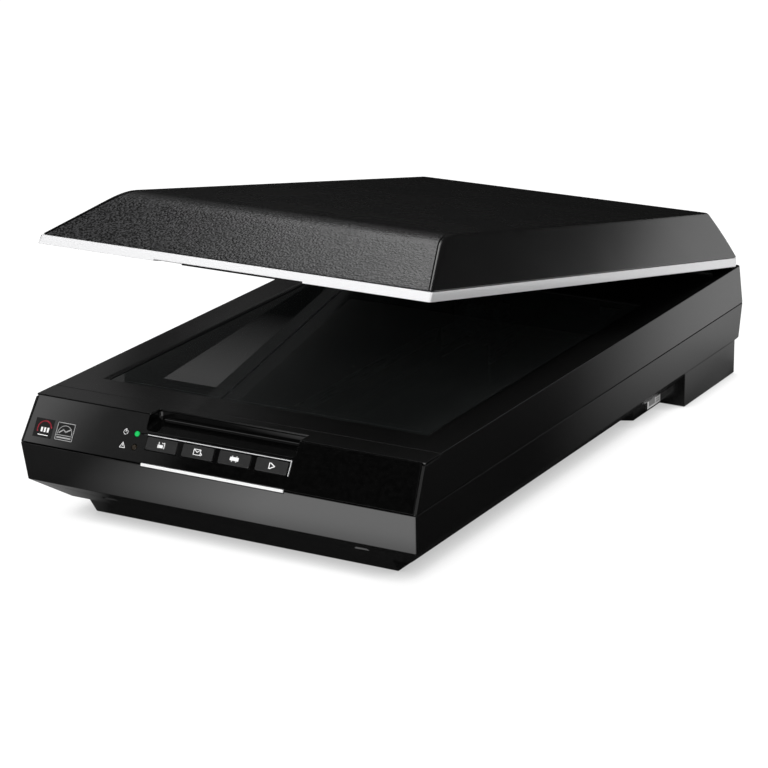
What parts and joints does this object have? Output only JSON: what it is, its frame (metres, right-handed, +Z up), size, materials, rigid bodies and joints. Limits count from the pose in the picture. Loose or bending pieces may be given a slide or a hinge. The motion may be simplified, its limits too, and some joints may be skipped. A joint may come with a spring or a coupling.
{
  "type": "flatbed photo scanner",
  "caption": "Desktop flatbed scanner with an A4 glass bed, sloping button panel and a deep friction-hinged lid that holds a film light, shown part open.",
  "frame": {"origin": "on the surface it stands on, under the middle of the base", "axes": "+X to the right seen from the front, +Y from the button panel to the hinge, +Z up"},
  "size_m": [0.28, 0.485, 0.1948],
  "materials": {
    "black_textured": "fine moulded grain, satin",
    "black_gloss": "polished",
    "silver_paint": "satin silver paint",
    "white_plastic": "smooth matt",
    "grey_plastic": "satin",
    "socket_plastic": "matt",
    "green_lens": "lit translucent",
    "amber_lens": "unlit translucent",
    "glass": "polished",
    "mirror": "polished",
    "steel": "satin",
    "rubber": "matt",
    "circuit_board": "solder mask",
    "label": "printed foil"
  },
  "bodies": {
    "base": {"lower_casing": "black_textured", "upper_casing": "black_textured", "front_trim": "black_textured", "control_panel": "black_gloss", "button_bezel": "silver_paint", "seam_accent_strip": "white_plastic", "power_light_lens": "green_lens", "error_light_lens": "amber_lens", "button_board": "circuit_board", "platen_glass": "glass", "calibration_strip": "white_plastic", "rating_label": "label", "front_left_foot": "rubber", "front_right_foot": "rubber", "rear_left_foot": "rubber", "rear_right_foot": "rubber", "casing_screw_1": "steel", "casing_screw_2": "steel", "casing_screw_3": "steel", "casing_screw_4": "steel", "guide_rod": "steel", "slide_rail": "steel", "stepper_motor": "steel", "motor_bracket": "steel", "timing_belt": "rubber", "idler_bracket": "steel", "belt_tension_spring": "steel", "main_board": "circuit_board", "power_inlet": "socket_plastic", "usb_port": "steel", "film_adapter_port": "socket_plastic"},
    "carriage": {"carriage_frame": "grey_plastic", "carriage_lamp": "white_plastic", "lower_mirror": "mirror", "front_mirror": "mirror", "upper_mirror": "mirror", "lens": "socket_plastic", "sensor_board": "circuit_board", "rod_bushing": "white_plastic", "slide_pad": "white_plastic", "belt_clamp": "grey_plastic"},
    "motor_pulley": {"motor_pulley": "steel"},
    "idler_pulley": {"idler_pulley": "steel"},
    "scan_to_file_button": {"scan_to_file_button": "grey_plastic"},
    "email_button": {"email_button": "grey_plastic"},
    "copy_button": {"copy_button": "grey_plastic"},
    "start_button": {"start_button": "grey_plastic"},
    "transport_lock": {"transport_lock": "grey_plastic"},
    "hinge_posts": {"left_hinge_post": "grey_plastic", "right_hinge_post": "grey_plastic"},
    "lid": {"lid_cover": "black_textured", "lid_rim": "silver_paint", "lid_tray": "black_textured", "film_window": "white_plastic", "film_light_board": "circuit_board", "left_hinge_pin": "steel", "right_hinge_pin": "steel", "left_lid_bumper": "rubber", "right_lid_bumper": "rubber"},
    "document_mat": {"document_mat": "grey_plastic"}
  },
  "joints": [
    {"name": "hinge_lift", "type": "slide", "parent": "base", "child": "hinge_posts", "axis": [0, 0, 1], "range_m": [0, 0.02]},
    {"name": "lid_hinge", "type": "hinge", "parent": "hinge_posts", "child": "lid", "pos_m": [0, 0.233, 0.086], "axis": [-1, 0, 0], "range_deg": [-11.69, 58]},
    {"name": "mat_slide", "type": "slide", "parent": "lid", "child": "document_mat", "axis": [0, -0.9793, 0.2026], "range_m": [0, 0.012]},
    {"name": "carriage_slide", "type": "slide", "parent": "base", "child": "carriage", "axis": [0, 1, 0], "range_m": [0, 0.3]},
    {"name": "motor_pulley_spin", "type": "hinge", "parent": "base", "child": "motor_pulley", "pos_m": [-0.04, 0.18, 0.015], "axis": [0, 0, 1], "range_deg": [0, 2520]},
    {"name": "idler_pulley_spin", "type": "hinge", "parent": "base", "child": "idler_pulley", "pos_m": [-0.04, -0.196, 0.015], "axis": [0, 0, 1], "range_deg": [0, 2520]},
    {"name": "scan_to_file_button_press", "type": "slide", "parent": "base", "child": "scan_to_file_button", "axis": [0, 0.8578, -0.514], "range_m": [0, 0.0012], "stiffness_N_per_m": 700, "springref_m": -0.001},
    {"name": "email_button_press", "type": "slide", "parent": "base", "child": "email_button", "axis": [0, 0.8578, -0.514], "range_m": [0, 0.0012], "stiffness_N_per_m": 700, "springref_m": -0.001},
    {"name": "copy_button_press", "type": "slide", "parent": "base", "child": "copy_button", "axis": [0, 0.8578, -0.514], "range_m": [0, 0.0012], "stiffness_N_per_m": 700, "springref_m": -0.001},
    {"name": "start_button_press", "type": "slide", "parent": "base", "child": "start_button", "axis": [0, 0.8578, -0.514], "range_m": [0, 0.0012], "stiffness_N_per_m": 700, "springref_m": -0.001},
    {"name": "transport_lock_slide", "type": "slide", "parent": "base", "child": "transport_lock", "axis": [1, 0, 0], "range_m": [0, 0.008]}
  ],
  "couplings": [
    {"joint": "motor_pulley_spin", "follows": "carriage_slide", "rad_per_m": 144.93},
    {"joint": "idler_pulley_spin", "follows": "carriage_slide", "rad_per_m": 144.93}
  ]
}
